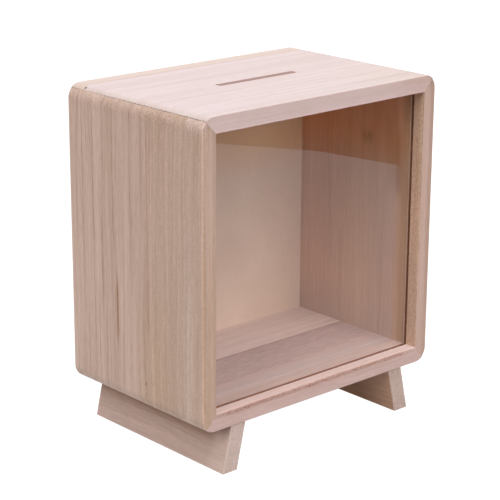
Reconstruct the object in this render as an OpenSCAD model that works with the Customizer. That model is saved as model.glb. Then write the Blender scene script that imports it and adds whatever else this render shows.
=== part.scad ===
// Wooden money box: a mitred board box on two splayed feet, with a clear front
// pane, a coin slot in the top and a plugged outlet hole in the back panel.
// +Z is up, -Y is the front, and the origin is on the ground below the middle.

/* [Box] */
// Outside width of the box
body_w = 150; // [120:1:200]
// Outside height of the box, without the feet
body_h = 148.2; // [120:0.1:200]
// Outside depth of the box
body_d = 97.6; // [80:0.1:140]
// Thickness of the boards
board_t = 8.2; // [7:0.1:12]
// Outer radius of the four long edges
corner_r = 7; // [3:0.5:8]

/* [Coin slot] */
// Length of the slot
slot_len = 50; // [35:1:60]
// Width of the slot
slot_w = 4.3; // [3:0.1:8]
// Offset of the slot from the middle, to the right
slot_x = 1; // [-10:0.5:10]
// Offset of the slot from the middle, to the back
slot_y = -0.5; // [-10:0.5:10]
// Radius of the slot's corners
slot_corner_r = 0.8; // [0.4:0.1:1.4]

/* [Front pane] */
// From the front edge of the boards to the pane's groove
pane_inset = 6.4; // [4:0.1:12]
// Thickness of the pane
pane_t = 2; // [1.5:0.1:3]
// Gap in the groove in front of the pane
pane_gap = 1; // [0.2:0.1:1.5]

/* [Back panel] */
// From the back edge of the boards to the panel's groove
panel_inset = 7.8; // [7:0.1:16]
// Thickness of the panel
panel_t = 4; // [3:0.1:6]
// Gap in the groove behind the panel
panel_gap = 0.2; // [0.1:0.1:1]

/* [Grooves] */
// Depth of both grooves in the boards
groove_depth = 3.5; // [2:0.1:4]
// Room left round the pane and the panel in their grooves
groove_room = 0.5; // [0.2:0.1:1]

/* [Outlet] */
// Diameter of the hole in the back panel
outlet_d = 30; // [26:1:34]
// Offset of the hole from the middle, to the right
outlet_x = -30; // [-38:1:38]
// Height of the hole's centre above the floor board
outlet_rise = 22; // [21:1:60]
// Radial clearance of the plug in the hole
plug_clearance = 0.08; // [0.02:0.01:0.1]
// How far the plug reaches past the panel into the box
plug_reach = 3.5; // [2:0.5:8]
// Width of the flange outside the hole
plug_flange = 3.5; // [2:0.5:4]
// Thickness of the flange
plug_flange_t = 1.8; // [1.2:0.1:2.5]
// Wall of the plug's hollow stem
plug_wall = 2.2; // [1.5:0.1:3]
// Length of the finger grip
grip_len = 20; // [14:1:26]
// Thickness of the finger grip
grip_t = 4; // [3:0.1:6]
// Height of the finger grip above the flange
grip_h = 4.6; // [3:0.1:4.8]

/* [Feet] */
// Height of the feet
foot_h = 23.3; // [15:0.1:35]
// Thickness of a foot, along the floor
foot_t = 8.9; // [7:0.1:12]
// Lean of the feet away from each other
foot_splay = 13; // [0:0.5:18]
// From the side of the box to the top of the foot
foot_inset = 17.8; // [14:0.1:30]
// From the front and back of the box to the foot's ends
foot_setback = 0.5; // [0:0.1:5]

/* [Pins] */
// Diameter of the steel pins
pin_d = 0.9; // [0.7:0.1:1.2]
// Length of the pins
pin_len = 15; // [12:1:18]
// How far the pins are punched below the surface
pin_sink = 0.5; // [0.3:0.1:1]
// From the side of the box to the mitre pins
pin_side = 3.4; // [3:0.1:4]
// From the front of the box to the front mitre pins
pin_front = 4.4; // [3:0.1:5]
// From the back of the box to the back mitre pins
pin_back = 10.2; // [3:0.1:14]
// Distance between the two pins of a foot
foot_pin_gap = 60; // [30:1:70]
// Depth below the floor board at which the foot pins go in
foot_pin_drop = 9; // [7:0.5:10]
// Slant of the foot pins away from upright
foot_pin_slant = 25; // [20:1:30]

/* [Hidden] */
$fn = 64;

wood = [0.80, 0.70, 0.63];
wood_end = [0.78, 0.67, 0.60];
cream = [0.89, 0.81, 0.69];
clear = [0.85, 0.90, 0.90, 0.35];
rubber = [0.12, 0.12, 0.12];
steel = [0.55, 0.53, 0.50];

cut = 1;                                  // overshoot of cutting shapes
half_w = body_w / 2;
half_d = body_d / 2;
body_z = foot_h;                          // underside of the box
top_z = body_z + body_h;
mid_z = body_z + body_h / 2;
inner_w = body_w - 2 * board_t;
inner_h = body_h - 2 * board_t;
floor_z = body_z + board_t;               // upper face of the floor board

pane_groove_y = -half_d + pane_inset;     // front wall of the pane's groove
pane_groove_w = pane_gap + pane_t;
panel_groove_w = panel_t + panel_gap;
panel_y = half_d - panel_inset - panel_groove_w;  // inner face of the back panel

outlet_z = floor_z + outlet_rise;
stem_r = outlet_d / 2 - plug_clearance;
flange_r = outlet_d / 2 + plug_flange;
stem_edge = 1;                            // bevel round the stem's inner end

foot_lean = foot_h * tan(foot_splay);     // how far a foot's sole is further out
foot_top_x = half_w - foot_inset;
foot_len = body_d - 2 * foot_setback;

// Height of the rounded long edge above a mitre pin, below the top face
pin_drop = corner_r - sqrt(corner_r * corner_r - pow(max(corner_r - pin_side, 0), 2));

// A flat shape in X and Z, pushed through from y = from to y = from + depth
module through(from, depth) {
    translate([0, from + depth, 0])
        rotate([90, 0, 0])
            linear_extrude(depth) children();
}

// Outline of the box seen from the front, with its four round corners
module body_outline() {
    translate([-half_w, body_z + corner_r]) square([body_w, body_h - 2 * corner_r]);
    translate([-half_w + corner_r, body_z]) square([body_w - 2 * corner_r, body_h]);
    for (x = [-1, 1], z = [-1, 1])
        translate([x * (half_w - corner_r), mid_z + z * (body_h / 2 - corner_r)])
            circle(corner_r);
}

// A shape that fills the opening in the ring of boards plus some depth into them
module opening_slab(from, depth, into) {
    translate([-inner_w / 2 - into, from, floor_z - into])
        cube([inner_w + 2 * into, depth, inner_h + 2 * into]);
}

// Both grooves, as one cut through all four boards
module grooves() {
    opening_slab(pane_groove_y, pane_groove_w, groove_depth);
    opening_slab(panel_y, panel_groove_w, groove_depth);
}

// Upper board of the ring, with 45 degree mitred ends
module upper_board() {
    difference() {
        intersection() {
            through(-half_d, body_d) body_outline();
            through(-half_d, body_d)
                polygon([[-inner_w / 2, top_z - board_t], [inner_w / 2, top_z - board_t],
                         [half_w, top_z], [-half_w, top_z]]);
        }
        grooves();
    }
}

// Right board of the ring, with 45 degree mitred ends
module side_board() {
    difference() {
        intersection() {
            through(-half_d, body_d) body_outline();
            through(-half_d, body_d)
                polygon([[inner_w / 2, floor_z], [half_w, body_z],
                         [half_w, top_z], [inner_w / 2, top_z - board_t]]);
        }
        grooves();
    }
}

// Mirrors its children in the level plane through the middle of the box
module upside_down() {
    translate([0, 0, mid_z]) mirror([0, 0, 1]) translate([0, 0, -mid_z]) children();
}

// Coin slot outline, with small round corners
module slot_outline() {
    square([slot_len, slot_w - 2 * slot_corner_r], center = true);
    square([slot_len - 2 * slot_corner_r, slot_w], center = true);
    for (x = [-1, 1], y = [-1, 1])
        translate([x * (slot_len / 2 - slot_corner_r), y * (slot_w / 2 - slot_corner_r)])
            circle(slot_corner_r);
}

// The top right pair of mitre pins, or the holes they sit in
module mitre_pins(hole = false) {
    head_z = top_z - pin_drop - pin_sink;
    for (y = [-half_d + pin_front, half_d - pin_back])
        translate([half_w - pin_side, y, head_z - pin_len])
            cylinder(h = hole ? pin_len + pin_sink + pin_drop + cut : pin_len, d = pin_d);
}

// The right foot's pair of slanted pins, or the holes they sit in
module foot_pins(hole = false) {
    from_z = body_z - foot_pin_drop;
    from_x = foot_top_x - foot_t + foot_pin_drop * tan(foot_splay);
    for (y = [-foot_pin_gap / 2, foot_pin_gap / 2])
        translate([from_x, y, from_z])
            rotate([0, foot_pin_slant, 0])
                translate([0, 0, hole ? -cut : pin_sink])
                    cylinder(h = hole ? pin_len + pin_sink + cut : pin_len, d = pin_d);
}

module top_board() {
    color(wood) difference() {
        upper_board();
        translate([slot_x, slot_y, top_z - board_t - cut])
            linear_extrude(board_t + 2 * cut) slot_outline();
        mitre_pins(hole = true);
        mirror([1, 0, 0]) mitre_pins(hole = true);
    }
}

module bottom_board() {
    color(wood) difference() {
        upside_down() upper_board();
        for (side = [0, 1]) mirror([side, 0, 0]) {
            upside_down() mitre_pins(hole = true);
            foot_pins(hole = true);
        }
    }
}

module right_side() {
    color(wood_end) difference() {
        side_board();
        mitre_pins(hole = true);
        upside_down() mitre_pins(hole = true);
    }
}

module left_side() {
    color(wood_end) mirror([1, 0, 0]) difference() {
        side_board();
        mitre_pins(hole = true);
        upside_down() mitre_pins(hole = true);
    }
}

// A sheet that stands on the floor of its groove, with room at the sides and top
module grooved_sheet(from, thickness) {
    translate([-inner_w / 2 - groove_depth + groove_room, from, floor_z - groove_depth])
        cube([inner_w + 2 * (groove_depth - groove_room), thickness,
              inner_h + 2 * groove_depth - groove_room]);
}

module front_pane() {
    color(clear) grooved_sheet(pane_groove_y + pane_gap, pane_t);
}

module back_panel() {
    color(cream) difference() {
        grooved_sheet(panel_y, panel_t);
        translate([outlet_x, panel_y - cut, outlet_z])
            rotate([-90, 0, 0]) cylinder(h = panel_t + 2 * cut, d = outlet_d);
    }
}

// Hollow stem, flange and finger grip, turned about the hole's axis
module outlet_plug() {
    stem_len = plug_reach + panel_t;
    color(rubber) translate([outlet_x, panel_y - plug_reach, outlet_z]) rotate([-90, 0, 0]) {
        difference() {
            union() {
                cylinder(h = stem_edge, r1 = stem_r - stem_edge, r2 = stem_r);
                translate([0, 0, stem_edge]) cylinder(h = stem_len - stem_edge, r = stem_r);
                translate([0, 0, stem_len]) cylinder(h = plug_flange_t, r = flange_r);
            }
            translate([0, 0, -cut]) cylinder(h = stem_len + cut, r = stem_r - plug_wall);
        }
        translate([0, 0, stem_len + plug_flange_t]) linear_extrude(grip_h) {
            square([grip_len - grip_t, grip_t], center = true);
            for (x = [-1, 1]) translate([x * (grip_len - grip_t) / 2, 0]) circle(d = grip_t);
        }
    }
}

module right_foot() {
    color(wood) difference() {
        through(-foot_len / 2, foot_len)
            polygon([[foot_top_x - foot_t, body_z], [foot_top_x, body_z],
                     [foot_top_x + foot_lean, 0], [foot_top_x - foot_t + foot_lean, 0]]);
        foot_pins(hole = true);
    }
}

module left_foot() {
    mirror([1, 0, 0]) right_foot();
}

module top_right_pins() {
    color(steel) mitre_pins();
}

module top_left_pins() {
    color(steel) mirror([1, 0, 0]) mitre_pins();
}

module bottom_right_pins() {
    color(steel) upside_down() mitre_pins();
}

module bottom_left_pins() {
    color(steel) mirror([1, 0, 0]) upside_down() mitre_pins();
}

module right_foot_pins() {
    color(steel) foot_pins();
}

module left_foot_pins() {
    color(steel) mirror([1, 0, 0]) foot_pins();
}

top_board();
bottom_board();
left_side();
right_side();
front_pane();
back_panel();
outlet_plug();
left_foot();
right_foot();
top_left_pins();
top_right_pins();
bottom_left_pins();
bottom_right_pins();
left_foot_pins();
right_foot_pins();
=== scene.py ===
"""Looks of the wooden money box: eased boards with grain, a clear pane and soft light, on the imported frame."""

import math
from functools import partial

import bmesh
import bpy
from mathutils import Matrix, Vector, noise


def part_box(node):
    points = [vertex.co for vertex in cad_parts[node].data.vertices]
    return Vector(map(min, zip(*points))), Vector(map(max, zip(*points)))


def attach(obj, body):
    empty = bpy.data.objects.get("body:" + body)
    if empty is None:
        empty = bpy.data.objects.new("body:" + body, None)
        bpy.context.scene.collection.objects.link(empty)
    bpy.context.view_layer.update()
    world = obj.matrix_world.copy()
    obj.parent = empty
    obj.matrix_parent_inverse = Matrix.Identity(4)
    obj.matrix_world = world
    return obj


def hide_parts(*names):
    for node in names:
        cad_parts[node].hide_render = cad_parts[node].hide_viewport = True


MM = 0.001
SHARP_TURN = math.radians(35)
X_AXIS, Y_AXIS, Z_AXIS = 0, 1, 2

# -------- frame and its dimensions

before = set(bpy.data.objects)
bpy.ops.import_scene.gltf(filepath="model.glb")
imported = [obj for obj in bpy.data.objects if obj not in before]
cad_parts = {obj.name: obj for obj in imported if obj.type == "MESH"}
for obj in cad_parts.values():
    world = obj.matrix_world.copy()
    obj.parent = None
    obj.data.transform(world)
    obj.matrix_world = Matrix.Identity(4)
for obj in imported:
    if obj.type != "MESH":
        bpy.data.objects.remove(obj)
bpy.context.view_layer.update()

_, top_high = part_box("top_board")
bottom_low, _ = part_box("bottom_board")
left_low, left_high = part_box("left_side")
pane_low, pane_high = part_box("front_pane")
panel_low, panel_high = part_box("back_panel")
plug_low, plug_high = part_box("outlet_plug")
foot_low, foot_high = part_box("right_foot")

HALF_W = -left_low.x
HALF_D = top_high.y
BOARD_T = left_high.x - left_low.x
BODY_Z = bottom_low.z
TOP_Z = top_high.z
MID_Z = (BODY_Z + TOP_Z) / 2
PLUG_X, PLUG_Z = (plug_low.x + plug_high.x) / 2, (plug_low.z + plug_high.z) / 2
CORNER_R = (HALF_W - top_high.x) / (1 - math.sqrt(0.5))
INNER_HALF_W = HALF_W - BOARD_T
INNER_HALF_H = (TOP_Z - BODY_Z) / 2 - BOARD_T

PANE_GAP = 1.0 * MM          # dark gap in the groove in front of the pane
PANEL_GAP = 0.2 * MM         # gap behind the back panel
GROOVE_ROOM = 0.5 * MM       # room between a sheet's side edge and the groove's floor
GROOVE_DEPTH = pane_high.x - INNER_HALF_W + GROOVE_ROOM

FOOT_EASE = 0.45 * MM        # rounding of the feet's edges
INNER_EASE = 0.28 * MM       # rounding of the boards' inner edges
LEVEL_EASE = 0.55 * MM       # rounding of the top and bottom boards' outer edges
SIDE_EASE = 1.1 * MM         # rounding of the side boards' outer edges
PANEL_EASE = 0.25 * MM       # rounding of the back panel's edges
PANE_EASE = 0.12 * MM        # rounding of the pane's edges

SLOT_LENGTH, SLOT_WIDTH = 50.0 * MM, 4.3 * MM
SLOT_X, SLOT_Y = 1.0 * MM, -0.5 * MM
SLOT_CORNER_R = 0.8 * MM
SLOT_EASE = 0.12 * MM        # flare of the slot at the top face
PIN_HOLE_R = 0.5 * MM
PIN_PLAY = 0.05 * MM         # depth of a filled hole beyond its pin
HOLE_R = 15.0 * MM           # radius of the outlet hole in the back panel

SHARP = 0.02 * MM            # softness of a patch with a sharp outline


# -------- mesh helpers


def finish_mesh(bm, name, flat=False):
    """Turns a bmesh into an object, shaded smooth and broken at its sharp edges unless it is flat."""
    bmesh.ops.remove_doubles(bm, verts=bm.verts, dist=1e-7)
    bmesh.ops.dissolve_degenerate(bm, edges=bm.edges, dist=1e-7)
    bmesh.ops.recalc_face_normals(bm, faces=bm.faces)
    if not flat:
        shade(bm)
    mesh = bpy.data.meshes.new(name)
    bm.to_mesh(mesh)
    bm.free()
    return add_object(name, mesh)


def add_object(name, data):
    """A new object in the scene."""
    thing = bpy.data.objects.new(name, data)
    bpy.context.scene.collection.objects.link(thing)
    return thing


def shade(bm):
    """Marks all faces smooth and the edges that turn more than SHARP_TURN sharp."""
    for face in bm.faces:
        face.smooth = True
    for edge in bm.edges:
        edge.smooth = edge.calc_face_angle(0.0) < SHARP_TURN


def settle_normals(piece):
    """Keeps large flat faces flat in shading where they meet an eased edge."""
    piece.modifiers.new("flat_faces", "WEIGHTED_NORMAL").keep_sharp = True


def bridge(bm, rings):
    """Joins rings of equally many vertices with quads."""
    count = len(rings[0])
    for ring, following in zip(rings, rings[1:]):
        for i in range(count):
            j = (i + 1) % count
            bm.faces.new((ring[i], ring[j], following[j], following[i]))


def loft(bm, rings, caps=None):
    """Joins rings of points, and closes both ends with the faces that caps lists, or else with one face each."""
    made = [[bm.verts.new(p) for p in ring] for ring in rings]
    bridge(bm, made)
    for ring in (made[0], made[-1]):
        for face in caps or [range(len(ring))]:
            bm.faces.new([ring[i] for i in face])


def cut_away(piece, cutters):
    """Cuts the cutter objects out of the piece for good and removes them."""
    for cutter in cutters:
        cut = piece.modifiers.new("cut", "BOOLEAN")
        cut.object = cutter
        cut.solver = "EXACT"
    graph = bpy.context.evaluated_depsgraph_get()
    mesh = bpy.data.meshes.new_from_object(piece.evaluated_get(graph))
    piece.modifiers.clear()
    old = piece.data
    piece.data = mesh
    mesh.name = old.name + "_cut"
    bpy.data.meshes.remove(old)
    for cutter in cutters:
        bpy.data.meshes.remove(cutter.data)
    bm = bmesh.new()
    bm.from_mesh(mesh)
    shade(bm)
    bm.to_mesh(mesh)
    bm.free()


def wander(x, y, seed, scale):
    """Smooth noise from -1 to 1 over a plane; scale is the size of its bumps."""
    return noise.noise(Vector((x / scale, y / scale, seed * 7.31)))


def spaced(start, end, step):
    """Evenly spaced values between start and end, without either."""
    count = max(1, round((end - start) / step))
    return [start + (end - start) * k / count for k in range(1, count)]


# steps of a rounding from an end face inward, as shares of its radius: depth and inset
EASE_STEPS = 3
EASE_TURNS = [math.pi / 2 * k / EASE_STEPS for k in range(EASE_STEPS + 1)]
EASING = [(1 - math.cos(turn), 1 - math.sin(turn)) for turn in EASE_TURNS]


# -------- boards of the ring

ARC_STEPS = 7
LENGTH_STEP = 0.9 * MM
DEPTH_STEP = 1.6 * MM

FRONT_RAGGED, BACK_RAGGED = 0.9, 0.5     # how ragged a board's inner edge is at the front and at the back
PANE_RAGGED, PANEL_RAGGED = 0.6, 0.4     # and along the pane's and the panel's groove
LIP = 0.35 * MM              # worn strip beside a groove
LIP_RAGGED = 0.25            # raggedness at the strip's far side, as a share of the groove edge's
LIP_DROP = 0.06 * MM         # how far a groove's edges are worn away
GROOVE_LEAN = 0.02 * MM      # how far a groove's walls lean
CHIP_BUMP, GRIT_BUMP, SPLINTER_BUMP = 1.7 * MM, 0.8 * MM, 2.6 * MM     # sizes of the damage along an edge
GRIT_SHARE = 0.6             # depth of the grit, as a share of the chips'
CHIP_DEPTH, SPLINTER_DEPTH, SLIP_DEPTH = 0.22, 1.3, 0.12     # in millimetres, where the noise is 1
SPLINTER_FROM = 0.30         # noise above which the edge splinters

SEAM = 0.14 * MM             # scale of the mitres' open width at the outer end
SEAM_SHUT, SEAM_OPEN = 0.12, 2.0             # share of it where shut, and what the noise adds where open
SEAM_BUMP, SEAM_WAVE = 2.5 * MM, 9 * MM      # lengths of the open stretches


def board_stations(ease):
    """Stations from a board's front to its back: depth y, outer inset, inner inset, how ragged its edge is."""
    stations = [
        (-HALF_D + ease * run, ease * rise, INNER_EASE * rise, FRONT_RAGGED * rise) for run, rise in EASING
    ]
    last = -HALF_D + ease
    for front, back, ragged in (
        (pane_low.y - PANE_GAP, pane_high.y, PANE_RAGGED),
        (panel_low.y, panel_high.y + PANEL_GAP, PANEL_RAGGED),
    ):
        stations += [(y, 0.0, 0.0, 0.0) for y in spaced(last, front - LIP, DEPTH_STEP)]
        stations += [
            (front - LIP, 0.0, 0.0, LIP_RAGGED * ragged), (front, 0.0, LIP_DROP, ragged),
            (front + GROOVE_LEAN, 0.0, GROOVE_DEPTH, 0.0), (back - GROOVE_LEAN, 0.0, GROOVE_DEPTH, 0.0),
            (back, 0.0, LIP_DROP, ragged), (back + LIP, 0.0, 0.0, LIP_RAGGED * ragged),
        ]
        last = back + LIP
    stations += [(y, 0.0, 0.0, 0.0) for y in spaced(last, HALF_D - ease, DEPTH_STEP)]
    stations += [
        (HALF_D - ease * run, ease * rise, INNER_EASE * rise, BACK_RAGGED * rise) for rise, run in EASING
    ]
    return stations


def edge_damage(u, y, seed, ragged):
    """How far the inner edge is chipped away at one point, and how far a groove's edge slips forward there."""
    rough = wander(u, y, seed, CHIP_BUMP) + GRIT_SHARE * wander(u, y, seed + 3, GRIT_BUMP)
    splinter = max(0.0, wander(u, 0.0, seed + (5 if y < 0 else 7), SPLINTER_BUMP) - SPLINTER_FROM)
    chip = ragged * (max(0.0, rough) * CHIP_DEPTH + splinter * SPLINTER_DEPTH) * MM
    return chip, ragged * abs(rough) * SLIP_DEPTH * MM


def board_ring(half_length, station, seed, in_groove):
    """One cross-section of a board as (length, depth, height above the inner face), inner face first."""
    y, outer, inner, ragged = station
    count = round(2 * half_length / LENGTH_STEP)
    inner_end = half_length + inner
    arc_u = half_length + BOARD_T - CORNER_R
    arc_w = BOARD_T - CORNER_R
    radius = CORNER_R - outer
    ring = []
    for i in range(count + 1):
        u = inner_end * (2 * i / count - 1)
        chip, slip = edge_damage(u, y, seed, ragged) if ragged and 0 < i < count else (0.0, 0.0)
        ring.append((u, y - slip if in_groove else y, inner + chip))
    opening = wander(y, 0.0, seed + 11, SEAM_BUMP) + 0.5 * wander(y, 0.0, seed + 17, SEAM_WAVE)
    start = math.pi / 4 + SEAM * (SEAM_SHUT + SEAM_OPEN * max(0.0, opening)) / CORNER_R
    right, left = [], []
    for k in range(ARC_STEPS + 1):
        turn = start + (math.pi / 2 - start) * k / ARC_STEPS
        du, dw = radius * math.cos(turn), radius * math.sin(turn)
        right.append((arc_u + du, y, arc_w + dw))
        left.append((-arc_u - du, y, arc_w + dw))
    ring += right
    ring += [(arc_u * (2 * i / count - 1), y, arc_w + radius) for i in range(count - 1, 0, -1)]
    ring += left[::-1]
    return ring


def board_caps(half_length):
    """Index lists of the faces that close a board's front or back end."""
    count = round(2 * half_length / LENGTH_STEP)
    right = count + 1
    outer = right + ARC_STEPS           # the outer face starts at the right arc's end
    left = outer + count                # and ends at the left arc's start
    faces = [(i, i + 1, outer + count - i - 1, outer + count - i) for i in range(count)]
    faces += [(count, right + k, right + k + 1) for k in range(ARC_STEPS)]
    faces += [(0, left + k, left + k + 1) for k in range(ARC_STEPS)]
    return faces


def make_board(name, half_length, reach, turn_deg, seed, ease):
    """A board whose inner face lies reach from the ring's middle, turned about the ring's axis."""
    rings = []
    turn = Matrix.Rotation(math.radians(turn_deg), 3, "Y")
    middle = Vector((0, 0, MID_Z))
    for station in board_stations(ease):
        in_groove = -HALF_D + ease < station[0] < HALF_D - ease
        ring = board_ring(half_length, station, seed, in_groove)
        rings.append([middle + turn @ Vector((u, y, reach + w)) for u, y, w in ring])
    bm = bmesh.new()
    loft(bm, rings, board_caps(half_length))
    return finish_mesh(bm, name)


# -------- other solids

SHARPEST_CORNER = 0.01 * MM
PIN_SIDES = 20


def offset_outline(outline, inset):
    """A convex outline, counter-clockwise, with every side moved inward."""
    moved = []
    count = len(outline)
    for i in range(count):
        before, here, after = (Vector(outline[k % count]) for k in (i - 1, i, i + 1))
        one = (here - before).normalized()
        two = (after - here).normalized()
        inward = Vector((-one.y, one.x)) + Vector((-two.y, two.x))
        scale = 2 * inset / inward.length_squared
        moved.append(here + inward * scale)
    return moved


def rounded_outline(outline, radius, steps=3):
    """A convex outline, counter-clockwise, with its corners rounded."""
    points = []
    count = len(outline)
    centres = offset_outline(outline, radius)
    for i in range(count):
        before, here, after = (Vector(outline[k % count]) for k in (i - 1, i, i + 1))
        one = (here - before).normalized()
        two = (after - here).normalized()
        first = math.atan2(-one.x, one.y)
        sweep = math.atan2(one.x * two.y - one.y * two.x, one.dot(two))
        for k in range(steps + 1):
            turn = first + sweep * k / steps
            points.append(centres[i] + radius * Vector((math.cos(turn), math.sin(turn))))
    return points


def eased_prism(name, outline, start, end, ease, step=None, flat=False):
    """A prism with all edges rounded, from an outline in (x, z) and its start and end depth along y."""
    rings = [(start + ease * run, ease * rise) for run, rise in EASING]
    if step:
        rings += [(depth, 0.0) for depth in spaced(start + ease, end - ease, step)]
    rings += [(end - ease * run, ease * rise) for rise, run in EASING]
    bm = bmesh.new()
    points = []
    for depth, inset in rings:
        corner = max(ease - inset, SHARPEST_CORNER)
        ring = rounded_outline(offset_outline(outline, inset), corner)
        points.append([Vector((p.x, depth, p.y)) for p in ring])
    loft(bm, points)
    return finish_mesh(bm, name, flat)


def rectangle(left, low, right, high):
    """The outline of a rectangle, counter-clockwise."""
    return [(left, low), (right, low), (right, high), (left, high)]


def pin_cutter(start, way, length):
    """A round cutter from a start point, along a way."""
    bm = bmesh.new()
    turn = way.to_track_quat("Z", "Y").to_matrix().to_4x4()
    bmesh.ops.create_cone(
        bm, cap_ends=True, segments=PIN_SIDES, radius1=PIN_HOLE_R, radius2=PIN_HOLE_R, depth=length,
        matrix=Matrix.Translation(start + way * length / 2) @ turn,
    )
    return finish_mesh(bm, "cutter")


def slot_cutter():
    """A cutter for the coin slot that flares at the board's upper face."""
    centre = Vector((SLOT_X, SLOT_Y, 0))
    rings = []
    for depth, grow in (
        (TOP_Z - 2 * BOARD_T, 0.0), (TOP_Z - SLOT_EASE, 0.0), (TOP_Z - 0.3 * SLOT_EASE, 0.35 * SLOT_EASE),
        (TOP_Z, SLOT_EASE), (TOP_Z + SLOT_EASE, 2 * SLOT_EASE),
    ):
        half_l, half_w = SLOT_LENGTH / 2 + grow, SLOT_WIDTH / 2 + grow
        corners = rectangle(-half_l, -half_w, half_l, half_w)
        outline = rounded_outline(corners, SLOT_CORNER_R + grow, steps=5)
        rings.append([Vector((centre.x + p.x, centre.y + p.y, depth)) for p in outline])
    bm = bmesh.new()
    loft(bm, rings)
    return finish_mesh(bm, "cutter")


def lathe(bm, profile, segments=72):
    """Turns a profile of (radius, depth) points about the Y axis; both ends lie on the axis."""
    rings = []
    for radius, depth in profile[1:-1]:
        rings.append([
            bm.verts.new((radius * math.cos(turn), depth, radius * math.sin(turn)))
            for turn in (math.tau * k / segments for k in range(segments))
        ])
    bridge(bm, rings)
    for ring, end in ((rings[0], profile[0]), (rings[-1], profile[-1])):
        tip = bm.verts.new((0, end[1], 0))
        for i in range(segments):
            bm.faces.new((ring[i], ring[(i + 1) % segments], tip))


# -------- node helper


def srgb(red, green, blue):
    """A colour given as 0 to 255 display values, in linear light."""
    def linear(value):
        value /= 255
        return value / 12.92 if value <= 0.04045 else ((value + 0.055) / 1.055) ** 2.4
    return (linear(red), linear(green), linear(blue), 1.0)


class Tree:
    """Short calls for building a material's nodes."""

    def __init__(self, name):
        self.material = bpy.data.materials.new(name)
        self.material.use_nodes = True
        self.nodes = self.material.node_tree.nodes
        self.links = self.material.node_tree.links
        self.nodes.clear()
        self.output = self.add("ShaderNodeOutputMaterial")
        self.place = self.add("ShaderNodeTexCoord").outputs["Object"]

    def add(self, kind, **settings):
        node = self.nodes.new(kind)
        for key, value in settings.items():
            setattr(node, key, value)
        return node

    def feed(self, socket, value):
        """Links a socket, or sets it if the value is a plain number or colour."""
        if isinstance(value, bpy.types.NodeSocket):
            self.links.new(value, socket)
        else:
            socket.default_value = value

    def fed(self, node, *values):
        """Feeds a node's inputs in their order and gives its first output."""
        for socket, value in zip(node.inputs, values):
            self.feed(socket, value)
        return node.outputs[0]

    def math(self, operation, *values):
        return self.fed(self.add("ShaderNodeMath", operation=operation), *values)

    def vector_math(self, operation, *values):
        return self.fed(self.add("ShaderNodeVectorMath", operation=operation), *values)

    def plus(self, first, second):
        return self.math("ADD", first, second)

    def times(self, first, second):
        return self.math("MULTIPLY", first, second)

    def centred(self, value, scale):
        """A noise from 0 to 1, turned to swing about 0."""
        return self.times(self.math("SUBTRACT", value, 0.5), scale)

    def weighted(self, *parts):
        """Adds up values, each given with its weight."""
        total = None
        for value, weight in parts:
            part = self.times(value, weight)
            total = self.plus(total, part) if total else part
        return total

    def span(self, value, low, high, to_low=0.0, to_high=1.0, smooth=True):
        """Maps low..high to to_low..to_high, held at both ends."""
        node = self.add("ShaderNodeMapRange", interpolation_type="SMOOTHSTEP" if smooth else "LINEAR")
        return self.fed(node, value, low, high, to_low, to_high)

    def noise(self, place, scale, detail=2.0, rough=0.5, warp=0.0):
        node = self.add("ShaderNodeTexNoise")
        keys = ("Vector", "Scale", "Detail", "Roughness", "Distortion")
        for key, value in zip(keys, (place, scale, detail, rough, warp)):
            self.feed(node.inputs[key], value)
        return node.outputs["Fac"]

    def vector(self, x, y, z):
        return self.fed(self.add("ShaderNodeCombineXYZ"), x, y, z)

    def split(self, place):
        node = self.add("ShaderNodeSeparateXYZ")
        self.feed(node.inputs[0], place)
        return node.outputs

    def blend(self, share, first, second, mode="MIX"):
        node = self.add("ShaderNodeMix", data_type="RGBA", blend_type=mode)
        for index, value in ((0, share), (6, first), (7, second)):
            self.feed(node.inputs[index], value)
        return node.outputs[2]

    def stain(self, colour, mask, strength, tint):
        """A colour multiplied by a tint where the mask is 1."""
        return self.blend(self.times(mask, strength), colour, tint, "MULTIPLY")

    def bump(self, height, distance, strength=1.0):
        node = self.add("ShaderNodeBump")
        for key, value in (("Strength", strength), ("Distance", distance), ("Height", height)):
            self.feed(node.inputs[key], value)
        return node.outputs[0]

    def shader(self, **inputs):
        node = self.add("ShaderNodeBsdfPrincipled")
        for key, value in inputs.items():
            self.feed(node.inputs[key.replace("_", " ")], value)
        return node.outputs[0]

    def done(self, surface):
        self.links.new(surface, self.output.inputs["Surface"])
        return self.material


# -------- materials

DARK_FIBRE = (0.83, 0.77, 0.72, 1)     # what the darkest fibres multiply the wood's colour by
LIGHT_FIBRE = (1.11, 1.12, 1.14, 1)    # what the lightest ones do
LINE = (0.66, 0.54, 0.46, 1)           # what a growth line does
FLECK = (0.84, 0.76, 0.64, 1)          # what a fleck of pores does
OLIVE = (0.98, 0.97, 0.88, 1)
ROSE = (1.00, 0.955, 0.965, 1)
STREAK_BROWN = (0.72, 0.52, 0.37)
# painted shade in the depth of the pane's groove
GROOVE_SHADE = (0.56, 0.38, 0.25)


SWAY = 10 * MM                 # how far the fibres wander sideways
RING_SLANT = 0.35              # how far the growth rings lean from square to the broad face
LINE_WAVER = 3.0               # how many years the growth lines wander
LINE_FADE = 6 * MM             # how softly the growth lines begin across a board
DARK_TONE, LIGHT_TONE = 0.36, 0.64       # noise at which the fibres are darkest and lightest


def tinted(colour, tint):
    """A colour multiplied by a tint."""
    return tuple(min(1.0, part * share) for part, share in zip(colour, tint))


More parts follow.
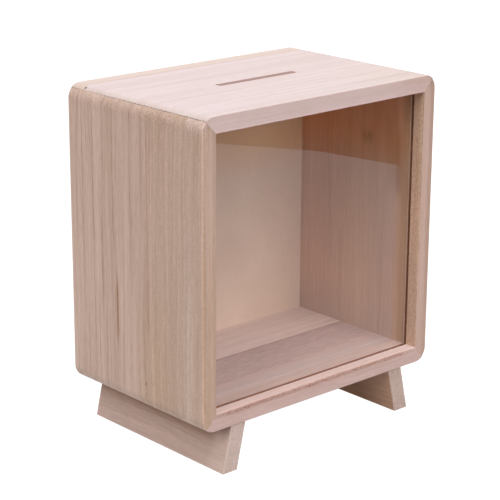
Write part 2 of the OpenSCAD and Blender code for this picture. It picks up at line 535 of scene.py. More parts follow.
class Grain:
    """Coordinates along and across a board's fibres, and noises drawn out along them."""

    def __init__(self, tree, along, across, seed):
        self.tree = tree
        self.along = along
        self.here = tree.split(tree.place)
        self.place = tree.vector_math("ADD", tree.place, (seed * 0.371, seed * 0.113, seed * 0.217))
        sway = tree.centred(self.noise(7.0, 16.0), SWAY)
        bend = [0.0, 0.0, 0.0]
        bend[across] = sway
        self.place = tree.vector_math("ADD", self.place, tree.vector(*bend))
        through = 3 - along - across
        self.side = tree.plus(self.here[across], sway)
        self.ring = tree.plus(self.side, tree.times(self.here[through], RING_SLANT))

    def noise(self, along_scale, side_scale, detail=2.0, rough=0.5):
        scales = [side_scale] * 3
        scales[self.along] = along_scale
        stretched = self.tree.vector_math("MULTIPLY", self.place, tuple(scales))
        return self.tree.noise(stretched, 1.0, detail, rough)

    def patch(self, spans, rough, specks):
        """1 inside a box and 0 outside. rough roughens its outline, and specks breaks it into short flecks."""
        tree = self.tree
        shake = tree.centred(self.noise(120.0, 1500.0), rough) if rough else None
        mask = tree.span(self.noise(800.0, 2100.0), 0.46, 0.62) if specks else None
        for axis, low, high, soft in spans:
            here = tree.plus(self.here[axis], shake) if rough else self.here[axis]
            for edge, side in ((low, 1), (high, -1)):
                if edge is None:
                    continue
                part = tree.span(here, edge - side * soft, edge + side * soft)
                mask = tree.times(mask, part) if mask else part
        return mask


def patch(*spans, tint, rough_mm=0.0, strength=1.0, specks=False):
    """A part of a board with a tint of its own. Each span is (axis, low, high, softness), None for no limit."""
    return {"spans": spans, "tint": tint + (1,), "rough": rough_mm * MM, "strength": strength, "specks": specks}


def span_mm(axis, low, high, soft, base=0.0):
    """A span for patch, given in millimetres from a base that is in metres."""
    low, high = (None if edge is None else base + edge * MM for edge in (low, high))
    return axis, low, high, soft * MM


x_span, y_span, z_span = (partial(span_mm, axis) for axis in (X_AXIS, Y_AXIS, Z_AXIS))
FRONT_FACE = y_span(None, 0.4, 0.1, -HALF_D)


def beyond(axis, limit, soft):
    """The two spans beyond a limit, on the negative and on the positive side."""
    return (axis, None, -limit, soft), (axis, limit, None, soft)


def growth_lines(grain, per_metre):
    """Dark late edge of each year's growth: fading in on one side and sharp on the other."""
    tree = grain.tree
    years = tree.weighted((grain.ring, per_metre), (grain.noise(3.0, 30.0), LINE_WAVER))
    line = tree.span(tree.math("FRACT", years), 0.84, 0.985)
    return tree.times(line, tree.span(grain.noise(9.0, 90.0), 0.40, 0.62))


def wood(name, grain, across, seed, base, zones, contrast=1.0, lines=0.4, line_rate=100.0, lines_from=None,
         flecks=0.4, olive=0.3, rose=0.3):
    """Raw paulownia. grain and across are the axes along and across the fibres on the broad face, and zones are
    patches. contrast scales the fibres' tone. lines, flecks, olive and rose are the strengths of those marks.
    line_rate is growth lines a metre, and lines_from is where they begin across the board."""
    tree = Tree(name)
    fibres = Grain(tree, grain, across, seed)
    broad = fibres.noise(4.0, 60.0)
    band = fibres.noise(7.0, 260.0)
    streak = fibres.noise(16.0, 800.0, 2.0, 0.6)
    fine = fibres.noise(160.0, 1900.0, 1.0)
    tone = tree.weighted((broad, 0.20), (band, 0.24), (streak, 0.32), (fine, 0.24))
    tone = tree.plus(tree.centred(tone, contrast), 0.5)
    light = tree.span(tone, DARK_TONE, LIGHT_TONE, smooth=False)
    colour = tree.blend(light, tinted(base, DARK_FIBRE), tinted(base, LIGHT_FIBRE))
    colour = tree.stain(colour, tree.span(fibres.noise(5.0, 300.0), 0.45, 0.65), olive, OLIVE)
    colour = tree.stain(colour, tree.span(fibres.noise(2.5, 45.0), 0.60, 0.40), rose, ROSE)

    line = growth_lines(fibres, line_rate)
    if lines_from is not None:
        line = tree.times(line, tree.span(fibres.side, lines_from - LINE_FADE, lines_from + LINE_FADE))
    colour = tree.stain(colour, line, lines, LINE)

    dash = fibres.noise(420.0, 2400.0, 1.0)
    dense = tree.span(fibres.noise(6.0, 120.0), 0.35, 0.65)
    pore = tree.times(tree.span(dash, 0.60, 0.74), dense)
    colour = tree.stain(colour, pore, flecks, FLECK)

    for part in zones:
        mask = fibres.patch(part["spans"], part["rough"], part["specks"])
        colour = tree.stain(colour, mask, part["strength"], part["tint"])

    relief = tree.math("SUBTRACT", tree.times(fine, 0.5), tree.times(pore, 0.5))
    relief = tree.plus(relief, tree.times(streak, 0.35))
    roughness = tree.span(tone, DARK_TONE, LIGHT_TONE, 0.76, 0.64)
    return tree.done(tree.shader(
        Base_Color=colour, Roughness=roughness, Specular_IOR_Level=0.3,
        Normal=tree.bump(relief, 0.10 * MM, 0.5),
    ))


def inside_zones(axis, middle, half, tint, lip=0.8 * MM):
    """The board's inner face behind the pane, tinted with painted shade inside the box, and the depth of the
    pane's groove, darkened with painted shade below a pale lip.
    """
    face = (axis, middle - half - SHARP, middle + half + SHARP, SHARP)
    groove = (Y_AXIS, pane_low.y - PANE_GAP - 0.04 * MM, pane_high.y + 0.1 * MM, 0.04 * MM)
    start, end = half + lip, half + GROOVE_DEPTH + 0.2 * MM
    return [patch(face, (Y_AXIS, pane_low.y, panel_high.y, SHARP), tint=tint)] + [
        patch((axis, low, high, 0.2 * MM), groove, tint=GROOVE_SHADE)
        for low, high in ((middle - end, middle - start), (middle + start, middle + end))
    ]


def edge_zones(front, back):
    """The board's front and back edges."""
    front_edge, back_edge = beyond(Y_AXIS, HALF_D - 0.16 * MM, 0.12 * MM)
    return [patch(front_edge, tint=front), patch(back_edge, tint=back)]


def end_zones(tint):
    """The upper rounded end of a side board, where the fibres are cut across and the pores show as specks."""
    end = TOP_Z - 5.2 * MM
    return [
        patch(z_span(0, None, 2, end), tint=tint, rough_mm=1.5),
        patch(z_span(-4, None, 4, end), tint=(0.87, 0.85, 0.82), specks=True),
    ]


def panel_material():
    """Smooth cream fibreboard: faint cloudy tone, fine fibres and a soft sheen, with painted warm shade at the
    top of its inner face.
    """
    tree = Tree("panel")
    cloud = tree.noise(tree.place, 22.0, 3.0)
    fleck = tree.noise(tree.place, 900.0, 3.0, 0.7)
    fibre = tree.span(tree.noise(tree.place, 420.0, 4.0, 0.75, 0.6), 0.52, 0.66)
    colour = tree.blend(tree.span(cloud, 0.35, 0.65), srgb(227, 199, 178), srgb(235, 208, 188))
    colour = tree.blend(tree.times(fibre, 0.16), colour, srgb(190, 160, 124))
    # the upper part of the inner face is tinted warmer and darker: painted warm shade under the top board
    _, depth, height = tree.split(tree.place)
    inner_face = tree.span(depth, panel_low.y + 0.5 * MM, panel_low.y + MM, 1.0, 0.0)
    upper = tree.span(height, 108 * MM, 128 * MM)
    colour = tree.blend(tree.times(inner_face, upper), colour, (1.06, 0.93, 0.74, 1), "MULTIPLY")
    rough = tree.span(fleck, 0.3, 0.7, 0.5, 0.62)
    return tree.done(tree.shader(
        Base_Color=colour, Roughness=rough, Specular_IOR_Level=0.35,
        Normal=tree.bump(fleck, 0.03 * MM, 0.5),
    ))


def pane_material():
    """Clear acrylic that lets lamps through."""
    tree = Tree("clear_acrylic")
    glass = tree.shader(
        Base_Color=(0.985, 0.99, 0.985, 1), Roughness=0.0, IOR=1.49, Transmission_Weight=1.0,
    )
    passing = tree.add("ShaderNodeBsdfTransparent")
    path = tree.add("ShaderNodeLightPath")
    lamp = tree.math("MAXIMUM", path.outputs["Is Shadow Ray"], path.outputs["Is Diffuse Ray"])
    return tree.done(tree.fed(tree.add("ShaderNodeMixShader"), lamp, glass, passing.outputs[0]))


def rubber_material():
    """Matte black rubber with a fine moulded skin and dust in its hollows."""
    tree = Tree("rubber")
    grit = tree.noise(tree.place, 1600.0, 3.0, 0.6)
    dust = tree.span(tree.noise(tree.place, 140.0, 4.0, 0.65), 0.48, 0.75)
    colour = tree.blend(tree.times(dust, 0.35), srgb(34, 33, 33), srgb(84, 80, 76))
    rough = tree.span(dust, 0.0, 1.0, 0.52, 0.78)
    return tree.done(tree.shader(
        Base_Color=colour, Roughness=rough, Specular_IOR_Level=0.4,
        Normal=tree.bump(grit, 0.05 * MM, 0.5),
    ))


def pin_material():
    """Dull steel wire with drawing marks and a little rust."""
    tree = Tree("pin_steel")
    rust = tree.span(tree.noise(tree.place, 2200.0, 3.0, 0.6), 0.5, 0.72)
    colour = tree.blend(rust, srgb(140, 134, 126), srgb(104, 78, 60))
    rough = tree.span(rust, 0.0, 1.0, 0.4, 0.8)
    metal = tree.span(rust, 0.0, 1.0, 1.0, 0.3)
    return tree.done(tree.shader(Base_Color=colour, Roughness=rough, Metallic=metal))


def dress(piece, material, node=None, body="box"):
    """Gives a piece its material and its body, and hides the CAD node that it stands for."""
    if piece.data.polygons[0].use_smooth:
        settle_normals(piece)
    piece.data.materials.clear()
    piece.data.materials.append(material)
    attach(piece, body)
    if node:
        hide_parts(node)


# -------- the pieces

PIN_PLACES = ("top_left", "top_right", "bottom_left", "bottom_right", "left_foot", "right_foot")


def solid_centres(node):
    """Middle of each separate solid in a CAD node, with its lowest and highest corner."""
    bm = bmesh.new()
    bm.from_mesh(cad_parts[node].data)
    bmesh.ops.remove_doubles(bm, verts=bm.verts, dist=1e-6)
    left = set(bm.verts)
    found = []
    while left:
        group, queue = set(), [left.pop()]
        while queue:
            vertex = queue.pop()
            group.add(vertex)
            for edge in vertex.link_edges:
                other = edge.other_vert(vertex)
                if other in left:
                    left.discard(other)
                    queue.append(other)
        low = Vector([min(v.co[k] for v in group) for k in range(3)])
        high = Vector([max(v.co[k] for v in group) for k in range(3)])
        found.append(((low + high) / 2, low, high))
    bm.free()
    return sorted(found, key=lambda item: item[0].y)


def mitre_pin_cutters(end, way):
    """Cutters for the mitre pins of the top or the bottom board. way points out through its outer face."""
    cutters = []
    for side in ("right", "left"):
        for centre, low, high in solid_centres(f"{end}_{side}_pins"):
            start = Vector((centre.x, centre.y, low.z if way.z > 0 else high.z))
            filled = centre.y < 0       # only the back pins leave an open hole
            length = high.z - low.z + (PIN_PLAY if filled else 2 * BOARD_T)
            cutters.append(pin_cutter(start, way, length))
    return cutters


# the top board's wood is paler and greyer than the others: painted light for the glare on its brightly lit top
# face
TOP_WOOD_LIT = srgb(224, 210, 210)
FLOOR_WOOD = srgb(219, 188, 180)
SIDE_WOOD = srgb(225, 195, 179)
FOOT_WOOD = srgb(205, 177, 163)


def slot_zones():
    """The coin slot's walls, and its greyish left and pale right end."""
    x_low, x_high = SLOT_X - SLOT_LENGTH / 2 - 0.1 * MM, SLOT_X + SLOT_LENGTH / 2 + 0.1 * MM
    across = (Y_AXIS, SLOT_Y - SLOT_WIDTH / 2 - 0.1 * MM, SLOT_Y + SLOT_WIDTH / 2 + 0.1 * MM, 0.05 * MM)
    below = (Z_AXIS, TOP_Z - BOARD_T + 0.1 * MM, TOP_Z - 0.08 * MM, 0.05 * MM)
    return [
        patch((X_AXIS, x_low, x_high, 0.05 * MM), across, below, tint=(0.84, 0.72, 0.66)),
        patch(x_span(0, 2.5, 0.1, x_low), across, below, tint=(0.72, 0.72, 0.74)),
        patch(x_span(-2.5, 0, 0.1, x_high), across, below, tint=(1.0, 0.98, 0.97)),
    ]


# growth lines, each given by its place across the fibres and its start and end along them, in millimetres
TOP_LINES = ((-13.5, -66, -18), (-21.5, -60, 34), (-28.0, -64, 62), (-33.5, -40, 20), (17.0, -20, 66))
LEFT_LINES = (
    (38.5, 70, 160), (30.5, 30, 166), (15.5, 96, 168), (-10.0, 60, 168),
    (35.5, 26, 66), (27.0, 26, 74), (21.5, 26, 60), (9.0, 28, 58), (24.0, 70, 110),
)


def top_zones():
    """Marks on the top board: yellow sapwood along the back, growth lines, a pin mark and the mitre seams."""
    outside = z_span(-3, None, 1, TOP_Z)
    zones = [
        patch(y_span(-8.6, None, 0.6, HALF_D), outside, tint=(0.99, 0.955, 0.875), rough_mm=1.2),
        patch(y_span(-9.6, -8.6, 0.4, HALF_D), outside, tint=(0.91, 0.80, 0.75), rough_mm=0.8),
        patch(x_span(52, None, 12), FRONT_FACE, tint=(0.96, 0.93, 0.90)),
        patch(x_span(40, None, 16), y_span(None, -10, 20), outside, tint=(0.98, 0.97, 0.93), rough_mm=4),
        patch(FRONT_FACE, z_span(None, 0.9, 0.35, TOP_Z - BOARD_T), tint=(1.10, 1.08, 1.10), rough_mm=1.2),
    ]
    for y, start, end in TOP_LINES:
        zones.append(patch(x_span(start, end, 10), y_span(y - 0.5, y + 0.5, 0.45), outside,
                           tint=(0.93, 0.84, 0.81), rough_mm=1.6, strength=0.6))
    for ends in beyond(X_AXIS, HALF_W - 4.2 * MM, 2.5 * MM):
        zones.append(patch(ends, outside, tint=(0.87, 0.84, 0.79), rough_mm=1.5))
    back_pin = solid_centres("top_left_pins")[-1][0]
    zones.append(patch(x_span(-0.55, 0.55, 0.15, back_pin.x), y_span(-0.55, 0.55, 0.15, back_pin.y), outside,
                       tint=(0.45, 0.32, 0.28)))
    for seam in beyond(X_AXIS, top_high.x - 0.30 * MM, 0.08 * MM):
        zones.append(patch(seam, outside, tint=(0.80, 0.77, 0.74), rough_mm=1.5))
        zones.append(patch(seam, outside, y_span(None, 14, 16), tint=(0.66, 0.60, 0.56), rough_mm=1.5))
    return zones


def make_top():
    top = make_board("top_panel", INNER_HALF_W, INNER_HALF_H, turn_deg=0, seed=1, ease=LEVEL_EASE)
    cut_away(top, [slot_cutter()] + mitre_pin_cutters("top", Vector((0, 0, 1))))
    # the inner face gets painted warm shade inside the box
    zones = slot_zones() + top_zones() + inside_zones(Z_AXIS, MID_Z, INNER_HALF_H, (0.88, 0.70, 0.58))
    # the front face is tinted warmer, back out of the top face's painted light
    zones += edge_zones((1.04, 0.92, 0.88), (0.87, 0.78, 0.74))
    material = wood("wood_top", X_AXIS, Y_AXIS, 1, TOP_WOOD_LIT, zones, contrast=0.55, lines=0.24, flecks=0.12,
                    olive=0.1, rose=0.25)
    dress(top, material, "top_board")


def floor_zones():
    """Marks on the bottom board: the lip with a painted highlight, the torn strip under it with painted shade in
    its fibres, the bands of the floor inside with painted light at the back, and a painted highlight along the
    front's lower edge.
    """
    sill_z = BODY_Z + BOARD_T
    top_face = z_span(-0.1, None, 0.02, sill_z)
    length = x_span(-66, 60, 8)
    return [
        # painted highlight: the lip in front of the pane, lighter and greyer
        patch((Y_AXIS, None, pane_low.y - PANE_GAP, SHARP), top_face, tint=(1.14, 1.25, 1.30)),
        # the torn strip under the lip: darker torn fibres, with the shade in them painted
        patch(length, FRONT_FACE, z_span(-2.1, 0, 0.4, sill_z), tint=(0.87, 0.77, 0.73), rough_mm=2),
        patch(length, FRONT_FACE, z_span(-1.7, 0, 0.4, sill_z), tint=(0.70, 0.54, 0.46), specks=True),
        patch(y_span(-19, 4.5, 0.8), top_face, tint=(0.87, 0.85, 0.88), rough_mm=2.5),
        patch(y_span(4.2, 5.4, 0.5), top_face, tint=(0.80, 0.74, 0.72), rough_mm=0.8),
        patch(y_span(-20.2, -18.6, 0.6), top_face, tint=(0.84, 0.78, 0.76), rough_mm=3),
        patch((Y_AXIS, pane_low.y, -24 * MM, 5 * MM), top_face, tint=(0.93, 1.02, 1.06), rough_mm=2),
        # painted light: the floor inside lighter behind the dark line
        patch(y_span(5.4, None, 0.8), top_face, tint=(1.28, 1.42, 1.45)),
        # painted highlight along the lower edge of the front face
        patch(z_span(None, 0.5, 0.2, BODY_Z), FRONT_FACE, tint=(1.12, 1.12, 1.08)),
    ]


def make_bottom():
    bottom = make_board("floor_panel", INNER_HALF_W, INNER_HALF_H, turn_deg=180, seed=2, ease=LEVEL_EASE)
    cut_away(bottom, mitre_pin_cutters("bottom", Vector((0, 0, -1))))
    # the inner face gets a little painted shade inside the box
    zones = floor_zones() + inside_zones(Z_AXIS, MID_Z, INNER_HALF_H, (0.92, 0.92, 0.91), 0.3 * MM)
    material = wood("wood_floor", X_AXIS, Y_AXIS, 2, FLOOR_WOOD, zones, contrast=0.8, lines=0.16, line_rate=70.0,
                    flecks=0.25, olive=0.1)
    dress(bottom, material, "bottom_board")


def rim_zone(side, tint):
    """The rounded front arris of a side board, darkened as painted shade against the highlight that the front
    and side lamps put on it.
    """
    outer = beyond(X_AXIS, HALF_W - 1.4 * MM, 0.2 * MM)[side > 0]
    return [patch(outer, y_span(None, 1.4, 0.3, -HALF_D), tint=tint)]


# painted warm shade: what the inner walls inside the box are tinted by
INNER_WALL_SHADE = (1.0, 0.92, 0.79)


def left_zones():
    """Marks on the left board: a brown resin streak, growth lines, two small dents, slow changes of tint,
    painted bounce light along the bottom and a painted sheen at the upper front end.
    """
    outside = x_span(None, 3, 1, -HALF_W)
    zones = [
        patch(y_span(12.2, 13.7, 0.5), z_span(54, 84, 8), outside, tint=STREAK_BROWN, rough_mm=0.9),
        # painted bounce light from the floor: lighter along the bottom edge
        patch(z_span(None, 3, 2.5, BODY_Z), tint=(1.10, 1.12, 1.12)),
        patch(y_span(22, None, 12), z_span(None, 105, 30), outside, tint=(1.08, 1.09, 1.10)),
        patch(y_span(-27, 0, 8), z_span(None, 75, 25), outside, tint=(1.0, 0.985, 0.93), rough_mm=5),
        patch(y_span(None, -12, 9), outside, tint=(0.97, 0.965, 0.945), rough_mm=4),
        patch(y_span(None, -8, 9), outside, tint=(0.93, 0.90, 0.84), specks=True),
        patch(x_span(-72, -70.2, 0.6), FRONT_FACE, tint=(0.97, 0.94, 0.90), rough_mm=1.5),
        patch(x_span(-69.2, None, 0.7), FRONT_FACE, tint=(0.88, 0.85, 0.83), rough_mm=1),
        patch(y_span(-41, -36.8, 1.2), outside, tint=(1.05, 1.09, 1.12), rough_mm=2),
        # painted sheen: the upper front of the rounded end lighter and bluer
        patch(z_span(-7, None, 3, TOP_Z), y_span(None, -38, 3.5), outside, tint=(1.14, 1.19, 1.32)),
        patch(z_span(None, 110, 30), FRONT_FACE, tint=(0.98, 0.965, 0.92)),
        patch(y_span(-8.3, -7.5, 0.2), z_span(36, 37.5, 0.4), outside, tint=(0.55, 0.45, 0.40)),
        patch(y_span(-8.1, -7.5, 0.2), z_span(30.6, 31.8, 0.4), outside, tint=(0.7, 0.6, 0.52)),
    ]
    for y, start, end in LEFT_LINES:
        zones.append(patch(y_span(y - 0.3, y + 0.3, 0.25), z_span(start, end, 12), outside,
                           tint=(0.78, 0.66, 0.59), rough_mm=1.2, strength=0.85))
    return zones


def right_zones():
    """Marks on the right board: inside, a knot stain, the reveal and a strip by the pane; and the front face."""
    inner = INNER_HALF_W + 0.1 * MM
    wall = (X_AXIS, None, inner, SHARP)
    reveal = (Y_AXIS, None, pane_low.y - PANE_GAP, SHARP)
    strip = (Y_AXIS, pane_low.y, -34.5 * MM, 1.5 * MM)
    corner = (Y_AXIS, pane_low.y, -38.5 * MM, 1.5 * MM)
    behind_pane = (Y_AXIS, pane_high.y, None, SHARP)
    return [
        patch(wall, y_span(-14, -7.5, 3.2), z_span(132.4, 137.6, 2.6), tint=(0.70, 0.76, 0.70), rough_mm=0.8),
        patch(wall, y_span(-34.6, -31, 1.6), z_span(109, 142, 9), tint=(0.82, 0.77, 0.74)),
        patch(wall, y_span(-34.8, -25, 3.2), z_span(112, 142, 9), tint=(0.82, 0.75, 0.66)),
        patch(wall, behind_pane, z_span(None, 48, 14), tint=(0.86, 0.90, 0.94)),
        patch(wall, reveal, z_span(116, None, 14), tint=(0.91, 0.91, 0.91)),
        patch(wall, reveal, tint=(1.10, 1.11, 1.03)),
        patch(wall, reveal, tint=(0.86, 0.78, 0.69), specks=True),
        patch(wall, reveal, z_span(None, 75, 25), tint=(0.86, 0.88, 0.90)),
        patch(wall, strip, tint=(0.82, 0.84, 0.80)),
        patch(wall, corner, tint=(0.86, 0.84, 0.78)),
        patch(wall, strip, z_span(112, None, 14), tint=(0.88, 0.88, 0.88)),
        patch(x_span(0.3, 4, 0.3, inner), FRONT_FACE, tint=(1.07, 1.08, 1.10), rough_mm=1),
        patch(x_span(-0.3, 0, 0.08, inner), FRONT_FACE, tint=(0.74, 0.64, 0.54), rough_mm=0.3),
        patch(x_span(-0.6, 0.2, 0.15, inner), FRONT_FACE, z_span(104, None, 14), tint=(0.76, 0.74, 0.72),
              rough_mm=0.3),
        patch(x_span(5, None, 0.8, inner), FRONT_FACE, tint=(0.94, 0.89, 0.86), rough_mm=2.5),
    ]


def wall_zones():
    """The inner walls of both side boards: tinted with painted warm shade inside the box, darker near the pane
    and warmer still at the top.
    """
    walls = (X_AXIS, -INNER_HALF_W - 0.1 * MM, INNER_HALF_W + 0.1 * MM, SHARP)
    return inside_zones(X_AXIS, 0.0, INNER_HALF_W, INNER_WALL_SHADE) + [
        patch(walls, (Y_AXIS, pane_low.y, -16 * MM, 12 * MM), z_span(None, 122, 18), tint=(0.87, 0.85, 0.89)),
        # painted warm shade, stronger at the top of the walls under the top board
        patch(walls, (Y_AXIS, pane_low.y, panel_low.y, SHARP), z_span(128, None, 12), tint=(1.12, 0.93, 0.76)),
    ]


def make_sides():
    left = make_board("left_panel", INNER_HALF_H, INNER_HALF_W, turn_deg=-90, seed=3, ease=SIDE_EASE)
    zones = left_zones() + wall_zones() + rim_zone(-1, (0.98, 0.96, 0.95)) + end_zones((0.87, 0.88, 0.90))
    zones += edge_zones((0.84, 0.81, 0.79), (0.84, 0.80, 0.78))
    material = wood("wood_left", Z_AXIS, Y_AXIS, 3, SIDE_WOOD, zones, contrast=1.12, lines=0.5,
                    lines_from=-14 * MM, flecks=0.5)
    dress(left, material, "left_side")

    right = make_board("right_panel", INNER_HALF_H, INNER_HALF_W, turn_deg=90, seed=4, ease=SIDE_EASE)
    zones = right_zones() + wall_zones() + rim_zone(1, (0.91, 0.90, 0.89)) + end_zones((0.84, 0.84, 0.85))
    zones += edge_zones((0.86, 0.82, 0.82), (0.86, 0.80, 0.78))
    material = wood("wood_right", Z_AXIS, Y_AXIS, 4, SIDE_WOOD, zones, contrast=0.66, lines=0.22, flecks=0.6,
                    olive=0.4, rose=0.4)
    dress(right, material, "right_side")


def foot_zones(side):
    """Marks on a foot: a pale front end, paler on the left foot with painted light; on the left foot painted
    shade under the body along its upper edge outside and painted light lower down and towards the front; and the
    right foot's inner face, browned and darkened as painted shade under the box.
    """
    front_end = y_span(None, 0.4, 0.2, foot_low.y)
    behind_end = y_span(0.6, None, 0.2, foot_low.y)
    if side > 0:
        inner_face = x_span(None, -8, 0.5, foot_high.x)
        return [
            patch(front_end, tint=(1.02, 1.06, 1.11)),
            # painted warm shade: the inner face under the box, browned
            patch(inner_face, behind_end, tint=(0.94, 0.76, 0.58)),
            # painted shade, deeper towards the back under the box
            patch(inner_face, y_span(-33, None, 13), tint=(0.56, 0.48, 0.36)),
        ]
    return [
        # painted light: this front end is paler than the right foot's
        patch(front_end, tint=(1.12, 1.20, 1.28)),
        # painted light: lighter low down, away from the shade under the body
        patch(z_span(None, 6, 5), behind_end, tint=(1.12, 1.13, 1.16)),
        # painted shade under the body: a broad band and a darker one just below the body
        patch(z_span(11, None, 4), y_span(-38, None, 4), tint=(0.85, 0.81, 0.78)),
        patch(z_span(15, None, 3), y_span(-37, None, 4), tint=(0.71, 0.59, 0.47), rough_mm=1.5),
        # painted light: less shade towards the front end
        patch(y_span(None, -38, 4), behind_end, tint=(1.10, 1.13, 1.15)),
    ]


def make_feet():
    """Both feet, each from the ends of its CAD foot's sole and top. The left one is built mirrored."""
    feet = ((1, "right_plank_foot", "right_foot", 5), (-1, "left_plank_foot", "left_foot", 6))
    for side, name, node, seed in feet:
        low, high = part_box(node)
        corners = [v.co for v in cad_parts[node].data.vertices]
        soles = [corner.x * side for corner in corners if corner.z < 0.1 * MM]
        tops = [corner.x * side for corner in corners if corner.z > high.z - 0.1 * MM]
        outline = [(min(soles), 0.0), (max(soles), 0.0), (max(tops), high.z), (min(tops), high.z)]
        foot = eased_prism(name, outline, low.y, high.y, FOOT_EASE, step=4 * MM)
        if side < 0:
            foot.data.transform(Matrix.Scale(-1, 4, (1, 0, 0)))
            foot.data.flip_normals()
        material = wood(f"wood_{name}", Y_AXIS, Z_AXIS, seed, FOOT_WOOD, foot_zones(side), lines=0.25)
        dress(foot, material, node)


def make_back_panel():
    """The thin panel, with a hole for the plug that is chamfered at both faces."""
    outline = rectangle(panel_low.x, panel_low.z, panel_high.x, panel_high.z)
    panel = eased_prism("rear_panel", outline, panel_low.y, panel_high.y, PANEL_EASE)
    panel_t = panel_high.y - panel_low.y
    chamfer = 0.3 * MM
    bm = bmesh.new()
    lathe(bm, [
        (0, -5 * MM), (HOLE_R, -5 * MM), (HOLE_R + chamfer, 0), (HOLE_R, chamfer),
        (HOLE_R, panel_t - chamfer), (HOLE_R + chamfer, panel_t), (HOLE_R, 15 * MM), (0, 15 * MM),
    ], 96)
    cutter = finish_mesh(bm, "cutter")
    cutter.data.transform(Matrix.Translation(Vector((PLUG_X, panel_low.y, PLUG_Z))))
    cut_away(panel, [cutter])
    dress(panel, panel_material(), "back_panel")


def make_pane():
    outline = rectangle(pane_low.x, pane_low.z, pane_high.x, pane_high.z)
    pane = eased_prism("window_pane", outline, pane_low.y, pane_high.y, PANE_EASE, flat=True)
    dress(pane, pane_material(), "front_pane")


STEM_PLAY = 0.08 * MM
STEM_WALL = 2.2 * MM
FLANGE_T = 1.8 * MM
FLANGE_RIM = 0.6 * MM        # rounding of the flange's edge
FLANGE_DISH = 0.25 * MM      # depth of the flange's sunk middle
RIM_STEPS = 6
FLANGE_SEAT = panel_high.y
FLANGE_TOP = FLANGE_SEAT + FLANGE_T


def plug_profile():
    """Half section of the plug as (radius, depth): a hollow stem with a bevelled nose, and the flange."""
    flange_r = (plug_high.x - plug_low.x) / 2
    stem_r = HOLE_R - STEM_PLAY
    hollow_r = stem_r - STEM_WALL
    nose = plug_low.y
    dish = FLANGE_TOP - FLANGE_DISH
    profile = [
        (0, FLANGE_SEAT - 0.3 * MM), (hollow_r - 1 * MM, FLANGE_SEAT - 0.3 * MM),
        (hollow_r, FLANGE_SEAT - 1.3 * MM), (hollow_r, nose + 0.3 * MM), (hollow_r + 0.3 * MM, nose),
        (stem_r - 1 * MM, nose), (stem_r, nose + 1 * MM), (stem_r, FLANGE_SEAT),
        (flange_r - 0.2 * MM, FLANGE_SEAT),
    ]
    for k in range(RIM_STEPS + 1):
        turn = math.pi / 2 * k / RIM_STEPS
        out, up = FLANGE_RIM * math.cos(turn), FLANGE_RIM * math.sin(turn)
        profile.append((flange_r - FLANGE_RIM + out, FLANGE_TOP - FLANGE_RIM + up))
    profile += [(flange_r * 0.75, FLANGE_TOP), (flange_r * 0.70, dish), (flange_r * 0.35, dish), (0, dish)]
    return profile


def make_grip(centre):
    """The finger grip: a rounded tab that grows out of the flange's middle with a fillet."""
    half_l, half_t = 10 * MM, 2 * MM
    top_y = plug_high.y
    base_y = FLANGE_TOP - 0.6 * MM
    rings = []
    for depth, grow in (
        (base_y, 0.9 * MM), (base_y + 0.5 * MM, 0.45 * MM), (base_y + 1.0 * MM, 0.1 * MM),
        (base_y + 1.6 * MM, 0.0), (top_y - 1.2 * MM, 0.0), (top_y - 0.55 * MM, -0.15 * MM),
        (top_y - 0.15 * MM, -0.5 * MM), (top_y, -1.0 * MM),
    ):
        half_length, half_thick = half_l + grow, half_t + grow
        corners = rectangle(-half_length, -half_thick, half_length, half_thick)
        outline = rounded_outline(corners, half_thick * 0.98, steps=8)
        rings.append([Vector((centre.x + p.x, depth, centre.z + p.y)) for p in outline])
    bm = bmesh.new()
    loft(bm, rings)
    return finish_mesh(bm, "plug_grip")


def make_plug():
    centre = Vector((PLUG_X, 0, PLUG_Z))
    rubber = rubber_material()
    bm = bmesh.new()
    lathe(bm, plug_profile())
    plug = finish_mesh(bm, "rubber_plug")
    plug.data.transform(Matrix.Translation(centre))
    dress(plug, rubber, "outlet_plug", body="plug")
    dress(make_grip(centre), rubber, body="plug")


def dress_pins():
    steel = pin_material()
    for place in PIN_PLACES:
        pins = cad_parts[f"{place}_pins"]
        pins.data.materials.clear()
        pins.data.materials.append(steel)


# -------- camera, floor and light

CAMERA_AZIMUTH = -42.287
CAMERA_ELEVATION = 17.233
CAMERA_ROLL = 0.329
CAMERA_DISTANCE = 0.84235
CAMERA_LENS = 123.18
CAMERA_TARGET = Vector((-0.00239, 0.0, 0.08598))


def direction(azimuth, elevation):
    """The way towards an azimuth (0 is the front, positive to the right) and an elevation, both in degrees."""
    turn, rise = math.radians(azimuth), math.radians(elevation)
    return Vector((math.sin(turn) * math.cos(rise), -math.cos(turn) * math.cos(rise), math.sin(rise)))


def make_camera():
    back = direction(CAMERA_AZIMUTH, CAMERA_ELEVATION)
    data = bpy.data.cameras.new("camera")
    data.lens = CAMERA_LENS
    data.clip_start = 0.01
    camera = add_object("camera", data)
    camera.location = CAMERA_TARGET + back * CAMERA_DISTANCE
    look = (-back).to_track_quat("-Z", "Y").to_matrix()
    roll = Matrix.Rotation(math.radians(CAMERA_ROLL), 3, "Z")
    camera.rotation_euler = (look @ roll).to_euler()
    bpy.context.scene.camera = camera


# foot of the dark edge that the pane mirrors, as a line on the floor
ROOM_EDGE = ((0.44, -0.02, 0), (0.421, -0.374, 0), (0.406, -0.448, 0), (0.3585, -0.525, 0), (0.21, -0.75, 0))
FLOOR_SIZE = 6.0
CARD_HEIGHT = Vector((0, 0, 0.5))
GREY_REACH = Vector((-0.75, 0.3, 0))     # from the dark edge across the grey floor


def plain_material(name, colour, glow=0.0, glow_colour=(1, 1, 1, 1)):
    """A matte colour that may glow."""
    tree = Tree(name)
    return tree.done(tree.shader(
        Base_Color=colour, Roughness=1.0, Specular_IOR_Level=0.2,
        Emission_Color=glow_colour, Emission_Strength=glow,
    ))


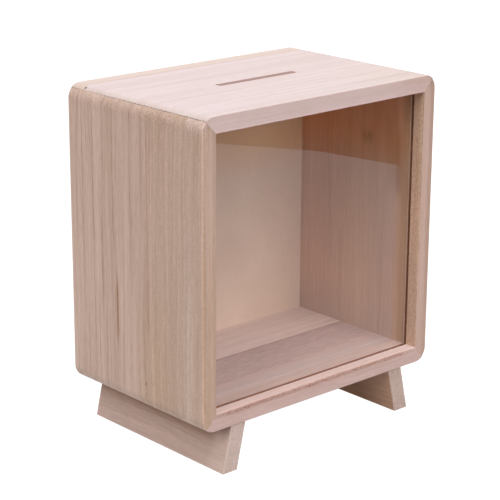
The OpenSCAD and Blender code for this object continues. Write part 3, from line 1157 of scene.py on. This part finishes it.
def reflection_card(name, line, across, material):
    """A card from a line to the same line moved across, which only the pane's reflection sees."""
    bm = bmesh.new()
    pairs = [(bm.verts.new(point), bm.verts.new(point + across)) for point in line]
    for (near, far), (next_near, next_far) in zip(pairs, pairs[1:]):
        bm.faces.new((near, next_near, next_far, far))
    card = finish_mesh(bm, name)
    card.data.materials.append(material)
    card.visible_camera = False
    card.visible_diffuse = False
    card.visible_shadow = False


def make_stage():
    """A pale floor, and what the pane mirrors from the right: a grey stretch of floor up to a dark edge."""
    bm = bmesh.new()
    bmesh.ops.create_grid(bm, x_segments=1, y_segments=1, size=FLOOR_SIZE)
    floor = finish_mesh(bm, "stage_floor")
    floor.data.materials.append(plain_material("floor_white", (0.10, 0.10, 0.10, 1), glow=1.02))
    floor.visible_diffuse = False
    floor.visible_shadow = False        # the bounce light comes up through it

    room_edge = [Vector(point) for point in ROOM_EDGE]
    dark = plain_material("room_dark", (0.03, 0.03, 0.03, 1))
    reflection_card("stage_room_edge", room_edge, CARD_HEIGHT, dark)
    grey = plain_material("floor_grey", (0.0, 0.0, 0.0, 1), glow=0.62, glow_colour=(0.76, 0.87, 1.0, 1))
    lifted = [point + Vector((0, 0, MM)) for point in room_edge]
    reflection_card("stage_grey_floor", lifted, GREY_REACH, grey)


def backdrop(strength):
    """A plain pale backdrop that is seen behind the box and sends no light."""
    world = bpy.data.worlds.new("studio")
    bpy.context.scene.world = world
    world.use_nodes = True
    background = world.node_tree.nodes["Background"]
    background.inputs["Color"].default_value = (1, 1, 1, 1)
    background.inputs["Strength"].default_value = strength
    for ray in ("diffuse", "glossy", "transmission", "scatter"):
        setattr(world.cycles_visibility, ray, False)


LAMP_DISTANCE = 2.0
# name, azimuth, elevation, strength, spread; the angles are in degrees
LAMPS = (
    ("front_low", -6, 20, 0.405, 60),
    ("front_high", 0, 64, 0.505, 40),
    ("back_high", 180, 62, 0.215, 40),
    ("left", -80, 32, 0.50, 40),
    ("right", 95, 15, 0.39, 40),
    ("back", 180, 15, 0.345, 40),
    ("floor_bounce", 0, -88, 0.45, 60),
)


def soft_sun(name, azimuth, elevation, strength, spread):
    """Even soft light over everything."""
    data = bpy.data.lights.new(name, "SUN")
    data.energy = strength * math.pi
    data.angle = math.radians(spread)
    light = add_object(name, data)
    towards = direction(azimuth, elevation)
    light.location = towards * LAMP_DISTANCE
    light.rotation_euler = towards.to_track_quat("Z", "Y").to_euler()


def make_light():
    bpy.context.scene.view_settings.view_transform = "Standard"
    backdrop(strength=0.92)
    for lamp in LAMPS:
        soft_sun(*lamp)


make_camera()
make_top()
make_bottom()
make_sides()
make_feet()
make_back_panel()
make_pane()
make_plug()
dress_pins()
make_stage()
make_light()
